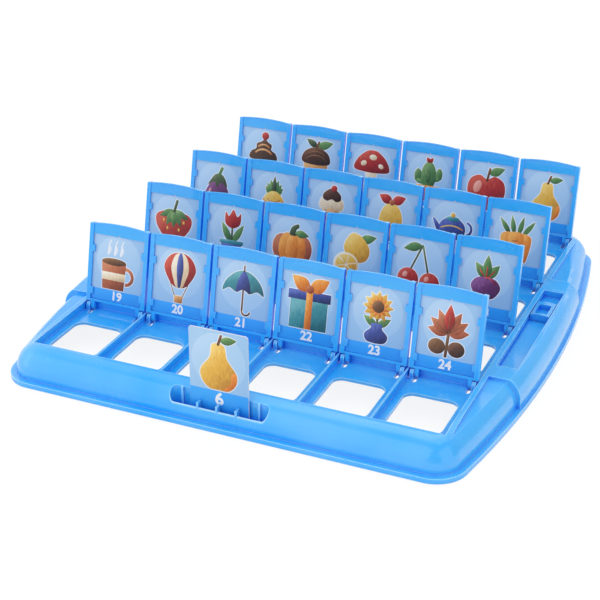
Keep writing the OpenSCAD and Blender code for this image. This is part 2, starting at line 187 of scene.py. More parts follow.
class Effects:
    """The shader node groups that several finishes share, each built once.

    SCALE is how closely a pattern lies, per metre, and TWIST how much it wanders. RANGE holds the two
    values of a mask between which its effect comes in, and MOST and LEAST bound what the effect covers.
    STROKE_GAIN is how strongly brush strokes shift the tone, SIDE_LIGHT how far the left side is lit.
    """

    FLOW_SCALE = 22.0
    FLOW_RANGE = (0.3, 0.7)
    FLOW_MOST = 0.16
    CREASE_RANGE = (0.8, 0.1)
    OPEN_RANGE = (0.3, 0.95)
    EDGE_RANGE = (0.995, 0.75)
    DULL_SCALE = 60.0
    DULL_RANGE = (0.35, 0.75)
    STROKE_SCALE = (900.0, 900.0, 260.0)
    STROKE_TWIST = 1.2
    STROKE_GAIN = 4.0
    SIDE_LIGHT = 0.8
    SHADE_RANGE = (0.25, -0.65)
    SHADE_MOST = 0.85
    LIGHT_RANGE = (0.1, 0.75)
    LIGHT_MOST = 0.8

    def __init__(self) -> None:
        """Builds all the groups."""
        # Tint of the mouldings, with painted shade in creases and a painted highlight along edges.
        self.depth = self._moulded_tint_and_painted_light()
        self.skin = self._moulded_skin()
        self.brush = self._brushwork()

    def _moulded_tint_and_painted_light(self) -> NodeTree:
        """Colour of a tinted moulding: painted shade in creases, a painted highlight on edges, uneven in its flow.

        Returns:
            The group, which puts out a colour and how open the spot lies.
        """
        graph, given, result = shader_group(
            "moulded_depth",
            {
                "Body": ("Color", (0.03, 0.35, 0.9)),
                "Deep": ("Color", (0.0, 0.15, 0.8)),
                "Lit": ("Color", (0.2, 0.6, 1.0)),
                "Crease Reach": ("Float", 0.0035),
                "Edge Reach": ("Float", 0.0009),
                "Edge Strength": ("Float", 0.9),
            },
            {"Colour": "Color", "Open": "Float"},
        )
        body, crease_shade, pale = (given.outputs[label] for label in ("Body", "Deep", "Lit"))
        place = graph.add("TexCoord").outputs["Object"]
        flow = graph.add("TexNoise", {0: place, "Scale": self.FLOW_SCALE, "Detail": 2.0}).outputs[0]
        reach = {"Distance": given.outputs["Crease Reach"]}
        shut = graph.add("AmbientOcclusion", reach, samples=8).outputs["AO"]
        # Painted highlight: the bevel normal finds the edges, and they are blended towards the pale Lit colour.
        bevel = graph.add("Bevel", {"Radius": given.outputs["Edge Reach"]}, samples=6).outputs[0]
        flat = graph.add("NewGeometry").outputs["Normal"]
        square = graph.add("VectorMath", {0: bevel, 1: flat}, operation="DOT_PRODUCT").outputs["Value"]
        sharp = graph.maths("MULTIPLY", graph.ramp(square, *self.EDGE_RANGE), shut)
        edge = graph.maths("MULTIPLY", sharp, given.outputs["Edge Strength"])
        toned = graph.blend(graph.ramp(flow, *self.FLOW_RANGE, 0.0, self.FLOW_MOST), body, pale)
        # Painted shade: where ambient occlusion finds a crease, the colour is blended towards the darker crease colour.
        crease_shaded = graph.blend(graph.ramp(shut, *self.CREASE_RANGE), toned, crease_shade)
        graph.feed(result, "Colour", graph.blend(edge, crease_shaded, pale))
        graph.feed(result, "Open", graph.ramp(shut, *self.OPEN_RANGE))
        return graph.tree

    def _moulded_skin(self) -> NodeTree:
        """Gloss and relief of a moulded skin: faint orange peel, and dull patches where it was handled.

        Returns:
            The group, which puts out a roughness and a height.
        """
        graph, given, result = shader_group(
            "moulded_skin",
            {"Gloss": ("Float", 0.2), "Spread": ("Float", 0.1), "Peel Scale": ("Float", 500.0)},
            {"Roughness": "Float", "Height": "Float"},
        )
        place = graph.add("TexCoord").outputs["Object"]
        patches = graph.add("TexNoise", {0: place, "Scale": self.DULL_SCALE, "Detail": 4.0}).outputs[0]
        fine = given.outputs["Peel Scale"]
        peel = graph.add("TexNoise", {0: place, "Scale": fine, "Detail": 1.0}).outputs[0]
        dull = graph.maths("MULTIPLY", graph.ramp(patches, *self.DULL_RANGE), given.outputs["Spread"])
        graph.feed(result, "Roughness", graph.maths("ADD", given.outputs["Gloss"], dull))
        graph.feed(result, "Height", peel)
        return graph.tree

    def _brushwork(self) -> NodeTree:
        """Colour of a painted patch: lit from its upper left, shaded to its lower right, with streaks.

        Returns:
            The group, which puts out a colour.
        """
        graph, given, result = shader_group(
            "brushwork",
            {
                "Body": ("Color", (0.5, 0.5, 0.5)),
                "Shade": ("Color", (0.1, 0.1, 0.1)),
                "Light": ("Color", (1.0, 1.0, 1.0)),
                "Streaks": ("Float", 0.25),
            },
            {"Colour": "Color"},
        )
        body, shade, light = (given.outputs[label] for label in ("Body", "Shade", "Light"))
        patch = graph.add("UVMap", uv_map="Patch").outputs[0]
        across, up = graph.add("SeparateXYZ", {0: patch}).outputs[:2]
        slope = graph.maths("SUBTRACT", up, graph.maths("MULTIPLY", across, self.SIDE_LIGHT))
        place = graph.add("TexCoord").outputs["Object"]
        squeezed = graph.add("Mapping", {0: place, "Scale": self.STROKE_SCALE}).outputs[0]
        wander = {0: squeezed, "Scale": 1.0, "Detail": 3.0, "Distortion": self.STROKE_TWIST}
        strokes = graph.add("TexNoise", wander).outputs[0]
        centred = graph.maths("SUBTRACT", strokes, 0.5)
        shaken = graph.maths("MULTIPLY", centred, given.outputs["Streaks"])
        tone = graph.maths("ADD", slope, graph.maths("MULTIPLY", shaken, self.STROKE_GAIN))
        shaded = graph.blend(graph.ramp(tone, *self.SHADE_RANGE, 0.0, self.SHADE_MOST), body, shade)
        lit = graph.blend(graph.ramp(tone, *self.LIGHT_RANGE, 0.0, self.LIGHT_MOST), shaded, light)
        graph.feed(result, "Colour", lit)
        return graph.tree


EFFECTS = Effects()


def new_material(name: str) -> tuple[Material, Graph, Node]:
    """An empty material.

    Args:
        name: the material's name.

    Returns:
        The material, its graph and its output node.
    """
    material = bpy.data.materials.new(name)
    material.use_nodes = True
    material.node_tree.nodes.clear()
    graph = Graph(material.node_tree)
    return material, graph, graph.add("OutputMaterial")


@dataclass(frozen=True)
class Finish:
    """What a piece is made of.

    GLOSS is the least roughness, BEND the index of refraction, and RELIEF the strength and the height,
    in metres, of the fine relief. The last words of the other names mean what they mean in Effects.

    Args:
        name: the finish's name.
    """

    name: str
    PREFIX = ""
    GLOSS = 0.3
    BEND = 1.45
    RELIEF = (0.1, 0.00005)

    def material(self) -> Material:
        """The finished material, built when it is first asked for."""
        label = self.PREFIX + self.name
        if label in bpy.data.materials:
            return bpy.data.materials[label]
        material, graph, out = new_material(label)
        shader = graph.add("BsdfPrincipled", {**self.inputs(graph), "IOR": self.BEND})
        graph.feed(out, 0, shader.outputs[0])
        return material

    def relief(self, graph: Graph, height: NodeSocket) -> NodeSocket:
        """The normal of the fine relief that a height gives."""
        strength, reach = self.RELIEF
        return graph.add("Bump", {"Height": height, "Strength": strength, "Distance": reach}).outputs[0]

    def inputs(self, graph: Graph) -> dict[str, object]:
        """What goes into the shader, besides BEND."""
        raise NotImplementedError


@dataclass(frozen=True)
class Plastic(Finish):
    """A tinted moulding that glows a little inside, with a clear lacquer on its open faces.

    LACQUER is its weight and LACQUER_GLOSS its roughness. GLOW is the share of the light that spreads
    inside, GLOW_REACH how far it spreads, in metres, and GLOW_TINT the share of that for each colour.

    Args:
        body: its colour on open faces.
        crease_shade: its colour in creases, which is painted shade.
        lit: its colour along edges, a painted highlight, and the paler tone of its flow.
        edge: how far in from an edge the painted highlight reaches, in metres.
    """

    body: Colour
    crease_shade: Colour
    lit: Colour
    edge: float
    GLOSS = 0.2
    BEND = 1.49
    RELIEF = (0.12, 0.0001)
    LACQUER = 0.5
    LACQUER_GLOSS = 0.06
    GLOW = 0.25
    GLOW_REACH = 0.002
    GLOW_TINT = (0.3, 0.8, 1.0)

    def inputs(self, graph: Graph) -> dict[str, object]:
        """What goes into the shader, besides BEND."""
        tints = {"Body": self.body, "Deep": self.crease_shade, "Lit": self.lit, "Edge Reach": self.edge}
        # Painted light: this group darkens creases with painted shade and paints a highlight along edges.
        depth = graph.add("Group", tints, node_tree=EFFECTS.depth)
        skin = graph.add("Group", {"Gloss": self.GLOSS}, node_tree=EFFECTS.skin)
        return {
            "Base Color": depth.outputs["Colour"],
            "Roughness": skin.outputs["Roughness"],
            "Normal": self.relief(graph, skin.outputs["Height"]),
            "Coat Weight": graph.maths("MULTIPLY", depth.outputs["Open"], self.LACQUER),
            "Coat Roughness": self.LACQUER_GLOSS,
            "Subsurface Weight": self.GLOW,
            "Subsurface Radius": self.GLOW_TINT,
            "Subsurface Scale": self.GLOW_REACH,
        }


@dataclass(frozen=True)
class Ink(Finish):
    """A printed colour with the look of brushwork.

    Args:
        body: its middle tone.
        shade: its darkest tone.
        light: its lightest tone.
        streaks: how strongly the brush shows, 0 for a flat tint.
    """

    body: Colour
    shade: Colour
    light: Colour
    streaks: float = 0.22
    PREFIX = "ink_"
    GRAIN_SCALE = 1400.0
    RELIEF = (0.06, 0.00005)

    def inputs(self, graph: Graph) -> dict[str, object]:
        """What goes into the shader, besides BEND."""
        tints = {"Body": self.body, "Shade": self.shade, "Light": self.light, "Streaks": self.streaks}
        brush = graph.add("Group", tints, node_tree=EFFECTS.brush)
        skin = graph.add("Group", {"Gloss": self.GLOSS, "Peel Scale": self.GRAIN_SCALE}, node_tree=EFFECTS.skin)
        return {
            "Base Color": brush.outputs["Colour"],
            "Roughness": skin.outputs["Roughness"],
            "Normal": self.relief(graph, skin.outputs["Height"]),
        }


@dataclass(frozen=True)
class Board(Finish):
    """Plain white card stock, with faint fibres and a gloss that changes in cloudy patches.

    Args:
        sheet: the colour of the sheet.
        fibre: the colour of its darker fibres.
    """

    name: str = "card_board"
    sheet: Colour = (0.74, 0.77, 0.81)
    fibre: Colour = (0.60, 0.65, 0.73)
    FIBRE_SCALE = (700.0, 700.0, 2400.0)
    FIBRE_TWIST = 0.8
    FIBRE_RANGE = (0.45, 0.8)
    FIBRE_LEAST = 0.4
    CLOUD_SCALE = 90.0
    CLOUD_RANGE = (0.2, 0.8)
    SHEEN_RANGE = (0.3, 0.7)
    SHEEN = (0.42, 0.55)

    def inputs(self, graph: Graph) -> dict[str, object]:
        """What goes into the shader, besides BEND."""
        place = graph.add("TexCoord").outputs["Object"]
        drawn = graph.add("Mapping", {0: place, "Scale": self.FIBRE_SCALE}).outputs[0]
        wander = {0: drawn, "Scale": 1.0, "Detail": 5.0, "Distortion": self.FIBRE_TWIST}
        fibres = graph.add("TexNoise", wander).outputs[0]
        cloud = graph.add("TexNoise", {0: place, "Scale": self.CLOUD_SCALE, "Detail": 2.0}).outputs[0]
        shown = graph.ramp(cloud, *self.CLOUD_RANGE, self.FIBRE_LEAST)
        uneven = graph.maths("MULTIPLY", graph.ramp(fibres, *self.FIBRE_RANGE), shown)
        return {
            "Base Color": graph.blend(uneven, self.sheet, self.fibre),
            "Roughness": graph.ramp(cloud, *self.SHEEN_RANGE, *self.SHEEN),
            "Normal": self.relief(graph, fibres),
        }


INKS: dict[str, Ink] = {
    ink.name: ink
    for ink in (
        Ink("sky", (0.31, 0.52, 0.77), (0.26, 0.47, 0.74), (0.38, 0.58, 0.81), 0.05),
        Ink("halo", (0.38, 0.58, 0.80), (0.32, 0.53, 0.77), (0.47, 0.65, 0.84), 0.05),
        Ink("band", (0.025, 0.33, 0.86), (0.02, 0.28, 0.80), (0.04, 0.38, 0.90), 0.04),
        Ink("white", (0.76, 0.79, 0.84), (0.66, 0.71, 0.80), (0.82, 0.84, 0.87), 0.03),
        Ink("navy", (0.045, 0.07, 0.28), (0.01, 0.015, 0.07), (0.14, 0.20, 0.55)),
        Ink("cocoa", (0.085, 0.035, 0.02), (0.015, 0.008, 0.006), (0.26, 0.12, 0.07)),
        Ink("umber", (0.16, 0.07, 0.03), (0.04, 0.015, 0.008), (0.36, 0.18, 0.08)),
        Ink("caramel", (0.60, 0.27, 0.09), (0.30, 0.09, 0.02), (0.86, 0.52, 0.24)),
        Ink("cream", (0.80, 0.66, 0.46), (0.52, 0.34, 0.18), (0.92, 0.86, 0.72)),
        Ink("crimson", (0.42, 0.03, 0.025), (0.12, 0.008, 0.01), (0.72, 0.13, 0.08)),
        Ink("brick", (0.42, 0.11, 0.05), (0.16, 0.03, 0.015), (0.66, 0.25, 0.12)),
        Ink("orange", (0.75, 0.24, 0.035), (0.42, 0.08, 0.01), (0.92, 0.48, 0.12)),
        Ink("gold", (0.74, 0.42, 0.06), (0.40, 0.16, 0.015), (0.90, 0.68, 0.22)),
        Ink("fern", (0.09, 0.22, 0.07), (0.02, 0.07, 0.025), (0.26, 0.42, 0.16)),
        Ink("moss", (0.06, 0.10, 0.045), (0.012, 0.025, 0.012), (0.17, 0.24, 0.12)),
        Ink("plum", (0.12, 0.03, 0.12), (0.02, 0.008, 0.03), (0.32, 0.12, 0.32)),
        Ink("teal", (0.05, 0.26, 0.30), (0.012, 0.09, 0.12), (0.20, 0.50, 0.52)),
        Ink("blush", (0.80, 0.34, 0.26), (0.56, 0.16, 0.12), (0.90, 0.56, 0.46)),
    )
}


@dataclass(frozen=True)
class Patch:
    """One flat shape of a print, in millimetres on the card.

    Args:
        ink: the name of its ink.
        outline: its corners, counter-clockwise.
    """

    ink: str
    outline: tuple[Point, ...]

    def grown(self, ink: str, margin: float) -> "Patch":
        """A larger copy, to show as a rim under the shape.

        Args:
            ink: the copy's ink.
            margin: how far its corners go out.

        Returns:
            The new shape.
        """
        count, spots = len(self.outline), []
        for k, (x, y) in enumerate(self.outline):
            (ax, ay), (bx, by) = self.outline[k - 1], self.outline[(k + 1) % count]
            dx, dy = by - ay, ax - bx
            length = hypot(dx, dy) or 1.0
            spots.append((x + margin * dx / length, y + margin * dy / length))
        return Patch(ink, tuple(spots))

    def moved(self, dx: float, dy: float, size: float) -> "Patch":
        """The same shape, scaled about the origin and then shifted.

        Args:
            dx: shift to the right.
            dy: shift up.
            size: scale.

        Returns:
            The new shape.
        """
        return Patch(self.ink, tuple((x * size + dx, y * size + dy) for x, y in self.outline))


def box_of(spots: Iterable[Point]) -> tuple[float, float, float, float]:
    """The left, lower, right and upper bounds of some spots."""
    across, up = zip(*spots)
    return min(across), min(up), max(across), max(up)


def turned(spots: Iterable[Point], x: float, y: float, turn: float) -> tuple[Point, ...]:
    """Spots turned about the origin by some degrees and then shifted."""
    c, s = cos(radians(turn)), sin(radians(turn))
    return tuple((x + u * c - v * s, y + u * s + v * c) for u, v in spots)


def oval(ink: str, x: float, y: float, rx: float, ry: float, turn: float = 0.0) -> Patch:
    """An ellipse about a centre, turned by some degrees."""
    around = [2 * pi * k / OVAL_CORNERS for k in range(OVAL_CORNERS)]
    return Patch(ink, turned([(rx * cos(t), ry * sin(t)) for t in around], x, y, turn))


def leaf(ink: str, x: float, y: float, length: float, width: float, turn: float) -> Patch:
    """A pointed leaf, widest below its middle, that grows from a spot in a direction."""
    steps = [k / LEAF_STEPS for k in range(LEAF_STEPS + 1)]
    upper = [(length * t, 0.5 * width * sin(pi * t**0.8)) for t in steps]
    return Patch(ink, turned([(u, -v) for u, v in upper] + upper[-2:0:-1], x, y, turn))


def blob(ink: str, *knots: Point) -> Patch:
    """A smooth closed curve through knots (a Catmull-Rom spline), given either way round."""
    count = len(knots)
    spots: list[Point] = []
    for k in range(count):
        near = [knots[(k + i) % count] for i in (-1, 0, 1, 2)]
        for step in range(KNOT_STEPS):
            t = step / KNOT_STEPS
            weights = (-0.5 * t + t * t - 0.5 * t**3, 1 - 2.5 * t * t + 1.5 * t**3)
            weights += (0.5 * t + 2 * t * t - 1.5 * t**3, 0.5 * t**3 - 0.5 * t * t)
            spots.append(tuple(sum(w * p[i] for w, p in zip(weights, near)) for i in (0, 1)))
    area = sum(ax * by - bx * ay for (ax, ay), (bx, by) in zip(spots[-1:] + spots, spots))
    return Patch(ink, tuple(spots if area > 0 else reversed(spots)))


def cup(ink: str, x: float, y: float, foot: float, head: float, height: float) -> Patch:
    """A pot or vessel: a trapezium that stands on a spot."""
    brim = ((x + head / 2, y + height), (x - head / 2, y + height))
    return Patch(ink, ((x - foot / 2, y), (x + foot / 2, y), *brim))


def bar(ink: str, x: float, y: float, end_x: float, end_y: float, width: float) -> Patch:
    """A round-ended stroke between two spots."""
    lean = atan2(end_y - y, end_x - x)
    sweep = [pi * k / END_STEPS for k in range(END_STEPS + 1)]
    spots = [(end_x, end_y, lean - pi / 2 + t) for t in sweep]
    spots += [(x, y, lean + pi / 2 + t) for t in sweep]
    return Patch(ink, tuple((u + width / 2 * cos(t), v + width / 2 * sin(t)) for u, v, t in spots))


def bow(ink: str, x: float, y: float, radius: float, width: float, start: float, end: float) -> Patch:
    """A curved band between two angles."""
    turns = [radians(start + (end - start) * k / BOW_STEPS) for k in range(BOW_STEPS + 1)]
    outer, inner = ([(x + r * cos(t), y + r * sin(t)) for t in turns] for r in (radius, radius - width))
    return Patch(ink, tuple(outer + inner[::-1]))


MOTIFS: tuple[tuple[Patch, ...], ...] = (
    (  # cupcake
        cup("navy", 0, 0, 9.5, 14, 9),
        *(bar("teal", x * 0.7, 0.8, x, 8.2, 0.9) for x in (-4.4, 0, 4.4)),
        blob(
            "cocoa", (-8.6, 9), (-8, 13), (-5, 15), (-4.6, 18), (-1, 20), (0, 23), (2, 20), (5, 18), (5, 15), (8, 13),
            (8.6, 9), (0, 7.6),
        ),
        bow("caramel", 0, 8, 7.4, 1.1, 40, 140),
        bow("caramel", 0, 13, 5.2, 0.9, 40, 140),
        oval("crimson", 0.6, 23, 2.3, 2.3),
    ),
    (  # acorn
        blob("caramel", (-7, 12), (-7, 6), (-3, 1.4), (0, -0.4), (3, 1.4), (7, 6), (7, 12), (0, 14)),
        leaf("fern", 0.5, 21, 10.5, 5, 20),
        leaf("moss", 0.5, 21, 8.5, 4, 150),
        blob("cocoa", (-9, 12), (-8, 17), (-4, 20), (0, 21), (4, 20), (8, 17), (9, 12), (4, 10.4), (-4, 10.4)),
        *(bow("umber", 0, 8 + k, 9.5, 0.6, 40, 140) for k in (-1.2, 1.2, 3.4)),
        bar("umber", 0, 20.5, 1.2, 24, 1.4),
    ),
    (  # mushroom
        leaf("fern", -5, -0.2, 8, 2.8, 112),
        leaf("fern", 5, -0.2, 8, 2.8, 66),
        blob("cream", (-3.4, 12), (-3, 5), (-4.6, 0), (4.6, 0), (3, 5), (3.4, 12)),
        blob("crimson", (-11, 11), (-9, 17), (-4, 21.6), (0, 22.6), (4, 21.6), (9, 17), (11, 11), (5, 9.4), (-5, 9.4)),
        oval("cream", -5.2, 14.4, 1.9, 1.5, 30),
        oval("cream", 0.4, 18.4, 2.3, 1.7),
        oval("cream", 5.6, 13.6, 1.7, 1.3, -30),
    ),
    (  # cactus in a pot
        oval("fern", -6.6, 15, 2.3, 4.2),
        bar("fern", -6, 11.8, -1, 10.6, 2.8),
        oval("fern", 6.6, 17, 2.1, 3.8),
        bar("fern", 6, 14, 1, 12.6, 2.6),
        oval("fern", 0, 15.4, 4.8, 8.8),
        bow("moss", -8.4, 15.4, 9.6, 0.5, -25, 25),
        bow("moss", 8.4, 15.4, 9.6, 0.5, 155, 205),
        *(leaf("crimson", 0, 23.4, 4, 2.4, turn) for turn in (60, 120)),
        cup("brick", 0, 0, 9, 13, 7.6),
        cup("orange", 0, 7, 14.4, 15, 2.6),
    ),
    (  # apple
        leaf("fern", 0.9, 18.4, 8.6, 4.4, 26),
        blob(
            "crimson", (0, 15.8), (4, 17.6), (8.6, 15), (9.6, 9), (6.6, 2.4), (2.6, 0), (0, 0.9), (-2.6, 0),
            (-6.6, 2.4), (-9.6, 9), (-8.6, 15), (-4, 17.6),
        ),
        oval("blush", -4.6, 11.6, 1.9, 3.2, -18),
        bar("umber", 0, 15.2, 1, 21, 1.2),
    ),
    (  # pear
        leaf("fern", 0.8, 23, 8, 3.8, 12),
        blob(
            "gold", (0, 22), (3, 20.6), (4, 15), (8.2, 9), (8, 4), (4.6, 0.3), (0, 0), (-4.6, 0.3), (-8, 4), (-8.2, 9),
            (-4, 15), (-3, 20.6),
        ),
        blob("orange", (8, 9), (8, 4), (4.6, 0.6), (2, 0.6), (5.4, 4), (6, 8.6)),
        bar("umber", 0, 21.4, 1.4, 25.6, 1.2),
    ),
    (  # aubergine
        blob("plum", (-2, 20), (3, 21), (6, 16), (8.6, 9), (7.4, 3), (3, 0), (-3, 0.4), (-7, 4), (-7.6, 10), (-5, 16)),
        bow("blush", 1, 9, 6.8, 0.8, 140, 195),
        blob(
            "moss", (-4, 19), (-6, 15.4), (-2, 17.4), (0, 14.4), (2.6, 17.4), (6.6, 15), (5, 20), (2, 22.6), (-1.6, 22),
        ),
        bar("fern", 1, 22, 2.6, 26, 1.9),
    ),
    (  # pineapple
        *(leaf("fern", x * 0.3, 15, 10.5 - abs(x), 3.2, 90 - x * 11) for x in (-4, 4, -2.6, 2.6, -1.2, 1.2)),
        leaf("moss", 0, 15, 11.5, 3, 90),
        oval("gold", 0, 8.6, 7, 8.8),
        *(bar("brick", x - 4.6, 12.8 - abs(x) * 0.4, x + 3.8, 4.6 + abs(x) * 0.2, 0.6) for x in (-2, 0.8, 3.2)),
        *(bar("brick", x + 4.6, 12.8 - abs(x) * 0.4, x - 3.8, 4.6 + abs(x) * 0.2, 0.6) for x in (-3.2, -0.8, 2)),
    ),
    (  # ice cream
        Patch("caramel", ((-6, 13), (0, -0.4), (6, 13))),
        *(bar("umber", 3.6 * side, 11.8, -1.4 * side, 5, 0.5) for side in (-1, 1)),
        blob("cream", (-7.4, 13.4), (-7, 18), (-3, 21), (3, 21), (7, 18), (7.4, 13.4), (4, 11.8), (0, 13), (-4, 11.8)),
        blob("cocoa", (-5.6, 18.6), (-5, 22), (0, 25), (5, 22), (5.6, 18.6), (3, 17.2), (0, 18.4), (-3, 17.2)),
        oval("crimson", 1, 25, 1.9, 1.9),
    ),
    (  # bell with a ribbon
        oval("umber", 0, 1.6, 2.4, 2.1),
        blob(
            "gold", (-9, 3), (-6.6, 6.4), (-6, 13), (-3.6, 18), (0, 19.4), (3.6, 18), (6, 13), (6.6, 6.4), (9, 3),
            (0, 1.8),
        ),
        bow("umber", 0, -1, 8.4, 0.7, 52, 128),
        *(leaf("crimson", 0, 20, 8, 5, turn) for turn in (24, 156)),
        oval("brick", 0, 20, 1.6, 1.6),
    ),
    (  # teapot
        bow("navy", 8.4, 8.8, 5, 1.6, -75, 80),
        blob("navy", (-7, 7), (-11.4, 12.6), (-12.8, 12), (-9, 4), (-6, 3)),
        oval("navy", 0, 7.6, 8.8, 7.4),
        bow("gold", 0, -4, 14, 0.8, 58, 122),
        oval("teal", 0, 14, 4.6, 1.6),
        oval("gold", 0, 16.4, 1.5, 1.5),
    ),
    (  # carrots
        *(leaf("fern", x, 14, 10.5, 2.6, 90 - x * 12) for x in (-3, -1, 1, 3)),
        blob("orange", (-7.6, 14), (-2, 15), (-2.6, 8), (-5.4, 0.4), (-7.4, 7)),
        blob("orange", (7.6, 14), (2, 15), (2.6, 8), (5.4, 0.4), (7.4, 7)),
        blob("orange", (-3.8, 14.8), (3.8, 14.8), (2.6, 6), (0, -0.4), (-2.6, 6)),
        bar("brick", -1.8, 11, 1, 11.3, 0.5),
        bar("brick", -0.6, 7.4, 1.8, 7.2, 0.5),
    ),
    (  # strawberry
        blob("crimson", (-8, 14), (-8.6, 9), (-4, 2.8), (0, -0.4), (4, 2.8), (8.6, 9), (8, 14), (0, 16)),
        *(oval("gold", x, y, 0.5, 0.75) for x, y in ((-5, 11), (0, 12), (5, 11), (-3, 7.6), (2.8, 7.4), (0, 3.6))),
        *(leaf("fern", 0, 16, 8, 3.4, turn) for turn in (-25, 205, -62, 242, 270)),
        bar("moss", 0, 15.6, 1.2, 20.4, 1.3),
    ),
    (  # tulip in a pot
        leaf("fern", -0.6, 8, 12, 3.8, 118),
        leaf("fern", 0.6, 8, 12, 3.8, 60),
        bar("moss", 0, 8, 0, 17, 1.2),
        blob("crimson", (-4.2, 18), (-4.4, 24), (-2.4, 22), (0, 25.6), (2.4, 22), (4.4, 24), (4.2, 18), (0, 15.6)),
        cup("navy", 0, 0, 8.6, 12, 7.4),
        cup("teal", 0, 7, 13.4, 13.8, 2.2),
    ),
    (  # pumpkin
        *(oval("brick", x, 8, 5, 7) for x in (-6, 6)),
        *(oval("orange", x, 8, 4.6, 8) for x in (-3, 3)),
        oval("orange", 0, 8, 3.4, 8.2),
        blob("moss", (-1.8, 15), (-1, 19), (2.4, 21), (3.2, 19.4), (1.6, 17.6), (2, 15)),
        leaf("fern", 1, 16.4, 8, 4, -6),
    ),
    (  # lemons
        leaf("fern", 2, 18, 9, 4.4, 18),
        blob("gold", (-1, 21.4), (3.6, 19.6), (7.4, 14.6), (6.4, 9.4), (2, 7.4), (-3, 9.4), (-5.4, 14), (-4, 18.6)),
        oval("cream", -3.6, 5.8, 6.2, 5.8),
        oval("gold", -3.6, 5.8, 5.3, 4.9),
        *(
            bar("cream", -3.6, 5.8, -3.6 + 4.8 * cos(t), 5.8 + 4.4 * sin(t), 0.5)
            for t in (0.3, 1.35, 2.4, 3.45, 4.5, 5.5)
        ),
    ),
    (  # cherries
        leaf("fern", 0.6, 22.4, 9.4, 4.4, 196),
        bar("moss", -4.6, 9, 0.8, 22.4, 0.9),
        bar("moss", 5, 8, 1, 22.4, 0.9),
        oval("crimson", -5, 5.6, 5.2, 5.4),
        oval("crimson", 5.6, 5, 4.9, 5),
        oval("blush", -6.6, 7.6, 1.1, 1.5, -30),
        oval("blush", 4, 6.8, 1, 1.4, -30),
    ),
    (  # beetroot
        *(leaf("fern", 0, 13, 12.5 - abs(k) * 1.5, 4.6, 90 - 24 * k) for k in (-1.6, 1.6, 0)),
        *(bar("crimson", 0, 12.5, 6 * sin(0.42 * k), 12 + 7 * cos(0.42 * k), 0.7) for k in (-1.6, 1.6, 0)),
        blob(
            "plum", (-7.6, 9), (-5, 13), (0, 14), (5, 13), (7.6, 9), (5, 4), (1.4, 2.4), (0, -0.4), (-1.4, 2.4),
            (-5, 4),
        ),
        bow("crimson", 0, 8, 6, 0.7, 30, 100),
    ),
    (  # mug
        bow("brick", 6.6, 7.4, 4.8, 1.7, -90, 90),
        cup("brick", 0, 0, 12, 13.6, 14),
        cup("cream", 0, 4.6, 12.6, 13, 4),
        oval("umber", 0, 14, 6.8, 1.8),
        *(
            blob("white", (x, 17.4), (x + 1.4, 20), (x + 0.4, 22.6), (x + 1.6, 25), (x + 0.6, 22.8), (x + 0.2, 20))
            for x in (-3.6, 0, 3.4)
        ),
    ),
    (  # hot-air balloon
        *(bar("umber", 5 * side, 10, 2.2 * side, 3.6, 0.5) for side in (-1, 1)),
        cup("caramel", 0, 0, 4.4, 5.2, 3.8),
        blob(
            "crimson", (-9, 18), (-6, 24), (0, 26.2), (6, 24), (9, 18), (6, 11.4), (2.4, 8.2), (-2.4, 8.2), (-6, 11.4),
        ),
        blob(
            "cream", (-5, 18), (-3.4, 24), (0, 26.2), (3.4, 24), (5, 18), (3.2, 11.4), (1.6, 8.2), (-1.6, 8.2),
            (-3.2, 11.4),
        ),
        blob(
            "navy", (-1.9, 18), (-1.2, 24), (0, 26.2), (1.2, 24), (1.9, 18), (1.2, 11.4), (0.6, 8.2), (-0.6, 8.2),
            (-1.2, 11.4),
        ),
    ),
    (  # umbrella
        bar("umber", 0, 3, 0, 22, 0.9),
        bow("umber", 2.1, 3.2, 2.6, 0.9, 180, 355),
        blob(
            "teal", (-11, 12), (-9.4, 17), (-5, 21.4), (0, 23), (5, 21.4), (9.4, 17), (11, 12), (7.4, 13.6), (3.7, 12),
            (0, 13.6), (-3.7, 12), (-7.4, 13.6),
        ),
        blob("navy", (-3.7, 12), (-3, 18), (0, 23), (3, 18), (3.7, 12), (0, 13.6)),
        bar("umber", 0, 22.6, 0, 25.4, 0.8),
    ),
    (  # gift box
        cup("teal", 0, 0, 15, 15, 11.4),
        cup("navy", 0, 11, 17, 17, 3.6),
        cup("orange", 0, 0, 2.6, 2.6, 14.6),
        *(leaf("orange", 0, 14.8, 9, 5.4, turn) for turn in (34, 146)),
        oval("brick", 0, 15.4, 1.6, 1.6),
    ),
    (  # sunflower in a vase
        *(leaf("fern", 0, 8, 8.6, 3.8, turn) for turn in (34, 146)),
        *(leaf("gold", 0, 18, 8, 3.4, 30 * k) for k in range(12)),
        *(leaf("orange", 0, 18, 6, 2.2, 30 * k + 15) for k in range(12)),
        oval("umber", 0, 18, 3.1, 3.1),
        bar("moss", 0, 6, 0, 11.4, 1.2),
        blob("navy", (-4, 0), (4, 0), (6, 3.6), (3, 7), (2.6, 9.4), (-2.6, 9.4), (-3, 7), (-6, 3.6)),
    ),
    (  # chestnut branch
        bar("umber", 0, 0, 0.6, 12, 1.5),
        *(leaf("brick", 0.4, 11, 13.5 - abs(k), 5, 90 - 27 * k) for k in (-3, 3, -2, 2, -1, 1)),
        leaf("crimson", 0.4, 11, 14.4, 5.6, 90),
        *(bar("umber", 0.4, 11, 0.4 + 9 * sin(0.47 * k), 11 + 9 * cos(0.47 * k), 0.4) for k in range(-2, 3)),
        oval("umber", -4.6, 4.2, 4.2, 3.8),
        oval("cocoa", 5, 4, 4.2, 3.8),
    ),
)


